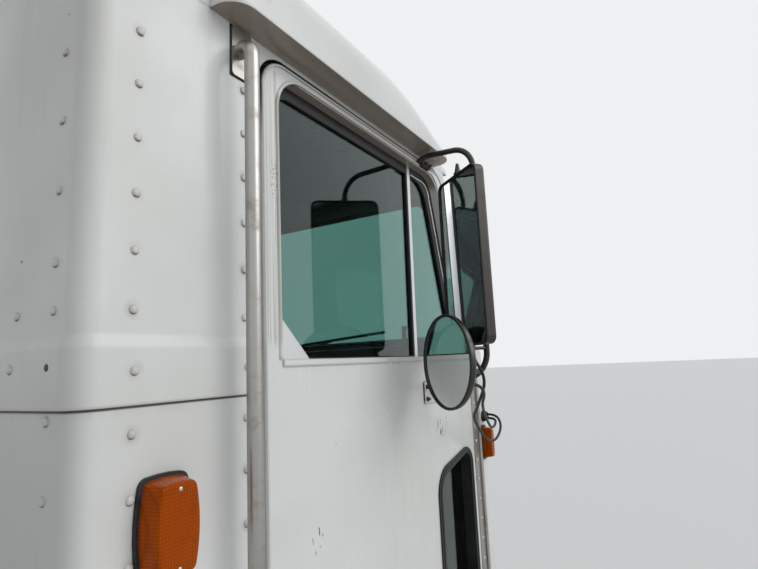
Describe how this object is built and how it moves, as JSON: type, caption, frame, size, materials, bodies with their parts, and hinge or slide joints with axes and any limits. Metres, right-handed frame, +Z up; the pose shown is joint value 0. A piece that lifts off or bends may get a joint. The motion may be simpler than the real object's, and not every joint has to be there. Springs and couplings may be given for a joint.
{
  "type": "truck cab",
  "caption": "Riveted conventional truck day cab with hinged doors, west-coast mirrors, grab handles, eyebrow roof and a fitted driver's place.",
  "frame": {"origin": "on the floor under the middle of the cab, without its cables", "axes": "X forward, Y to the cab's left, Z up"},
  "size_m": [1.34, 2.3326, 1.6998],
  "materials": {
    "cab_paint": "gloss, dirty white",
    "frame_steel": "satin black",
    "floor_mat": "ribbed",
    "stainless": "polished",
    "bar_aluminium": "satin",
    "window_glass": "green tinted",
    "seal_rubber": "matte",
    "amber_lens": "amber",
    "black_steel": "satin",
    "mirror_shell": "satin",
    "mirror_glass": "mirror",
    "handle_chrome": "polished",
    "interior_plastic": "grained",
    "seat_fabric": "woven",
    "cable_jacket": "smooth"
  },
  "bodies": {
    "cab": {"rear_lower_shell": "cab_paint", "rear_upper_shell": "cab_paint", "door_frames": "cab_paint", "roof_cap": "cab_paint", "cowl_shell": "cab_paint", "windshield_frame": "cab_paint", "underframe": "frame_steel", "floor": "floor_mat", "grab_handles": "stainless", "cab_hinge_leaves": "stainless", "windshield_panes": "window_glass", "rear_window_pane": "window_glass", "windshield_seals": "seal_rubber", "rear_window_seal": "seal_rubber", "door_seals": "seal_rubber", "cable_glands": "seal_rubber", "side_lamp_bases": "seal_rubber", "side_lamp_lenses": "amber_lens", "roof_lamp_lenses": "amber_lens", "wipers": "black_steel", "gear_lever": "black_steel", "pedals": "black_steel", "steering_column": "black_steel", "seat_bases": "black_steel", "dashboard": "interior_plastic", "seat_cushions": "seat_fabric", "seat_backs": "seat_fabric", "mirror_cable_long": "cable_jacket", "mirror_cable_short": "cable_jacket"},
    "steering": {"steering_wheel": "interior_plastic"},
    "door_right": {"right_door_panel": "cab_paint", "right_door_hinge_leaf": "stainless", "right_window_panes": "window_glass", "right_window_seals": "seal_rubber", "right_division_bar": "bar_aluminium", "right_door_handle": "handle_chrome", "right_door_trim": "interior_plastic", "right_mirror_arms": "black_steel", "right_mirror_cases": "mirror_shell", "right_mirror_panes": "mirror_glass"},
    "door_left": {"left_door_panel": "cab_paint", "left_door_hinge_leaf": "stainless", "left_window_panes": "window_glass", "left_window_seals": "seal_rubber", "left_division_bar": "bar_aluminium", "left_door_handle": "handle_chrome", "left_door_trim": "interior_plastic", "left_mirror_arms": "black_steel", "left_mirror_cases": "mirror_shell", "left_mirror_panes": "mirror_glass"}
  },
  "joints": [
    {"name": "right_door", "type": "hinge", "parent": "cab", "child": "door_right", "pos_m": [0.525, -0.9575, 0.56], "axis": [0, 0, 1], "range_deg": [0, 70], "deforming": ["mirror_cable_long", "mirror_cable_short"]},
    {"name": "left_door", "type": "hinge", "parent": "cab", "child": "door_left", "pos_m": [0.525, 0.9575, 0.56], "axis": [0, 0, -1], "range_deg": [0, 70]},
    {"name": "steering", "type": "hinge", "parent": "cab", "child": "steering", "pos_m": [0.096, 0.45, 0.8], "axis": [-0.6691, 0, 0.7431], "range_deg": [-750, 750]}
  ]
}
